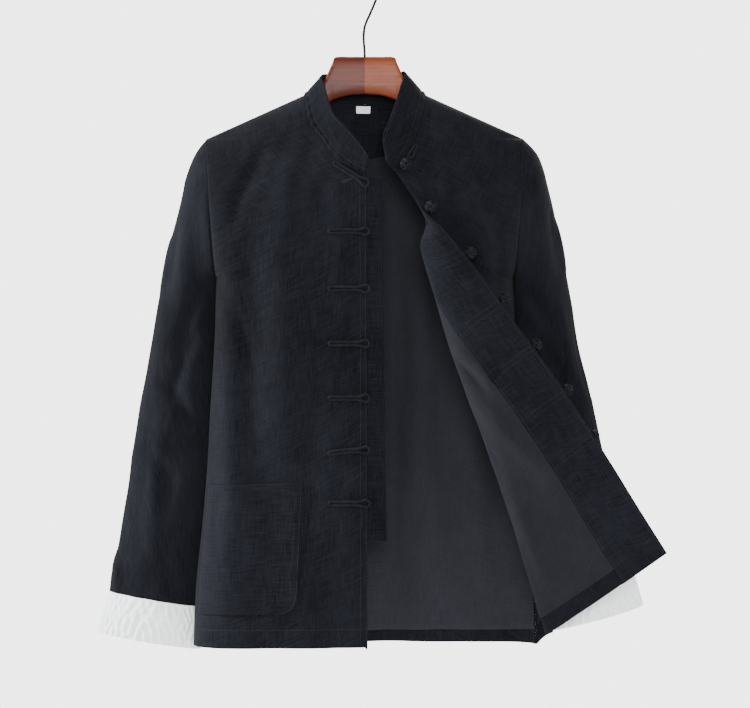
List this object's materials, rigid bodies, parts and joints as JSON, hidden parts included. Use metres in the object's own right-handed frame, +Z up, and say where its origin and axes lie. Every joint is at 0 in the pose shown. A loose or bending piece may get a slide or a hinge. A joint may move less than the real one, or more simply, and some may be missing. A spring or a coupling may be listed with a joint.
{
  "type": "tang jacket on a wooden hanger",
  "caption": "Black open mandarin-collar jacket with frog closures and turned white cuffs, hanging on a wooden hanger with a wire hook.",
  "frame": {"origin": "inside top of the hanger's hook, where a rod carries it", "axes": "+X to the viewer's right across the shoulders, -Y out of the jacket's front, +Z up"},
  "size_m": [0.7445, 0.158, 0.8894],
  "materials": {
    "cloth": "matt slubby cotton and linen plain weave",
    "lining": "smooth dull lining",
    "linen": "crinkled white linen",
    "cord": "soft bias cord",
    "wood_dark": "satin varnish, red brown",
    "wood_light": "satin varnish, lighter red brown",
    "steel": "dark plated wire",
    "label": "woven satin tape"
  },
  "bodies": {
    "root": {"back": "cloth", "back_lining": "lining", "back_neck_facing": "cloth", "collar": "cloth", "cuff_left": "linen", "cuff_right": "linen", "front_left": "cloth", "front_left_facing": "cloth", "front_left_lining": "lining", "front_right": "cloth", "hanger_left": "wood_light", "hanger_right": "wood_dark", "hook": "steel", "knot_1": "cord", "knot_2": "cord", "knot_3": "cord", "knot_4": "cord", "knot_5": "cord", "knot_6": "cord", "knot_7": "cord", "knot_tail_1": "cord", "knot_tail_3": "cord", "knot_tail_4": "cord", "knot_tail_5": "cord", "knot_tail_6": "cord", "knot_tail_7": "cord", "label": "label", "loop_1": "cord", "loop_2": "cord", "loop_3": "cord", "loop_4": "cord", "loop_5": "cord", "loop_6": "cord", "loop_7": "cord", "placket": "cloth", "pocket": "cloth", "sleeve_left": "cloth", "sleeve_right": "cloth"}
  },
  "joints": []
}
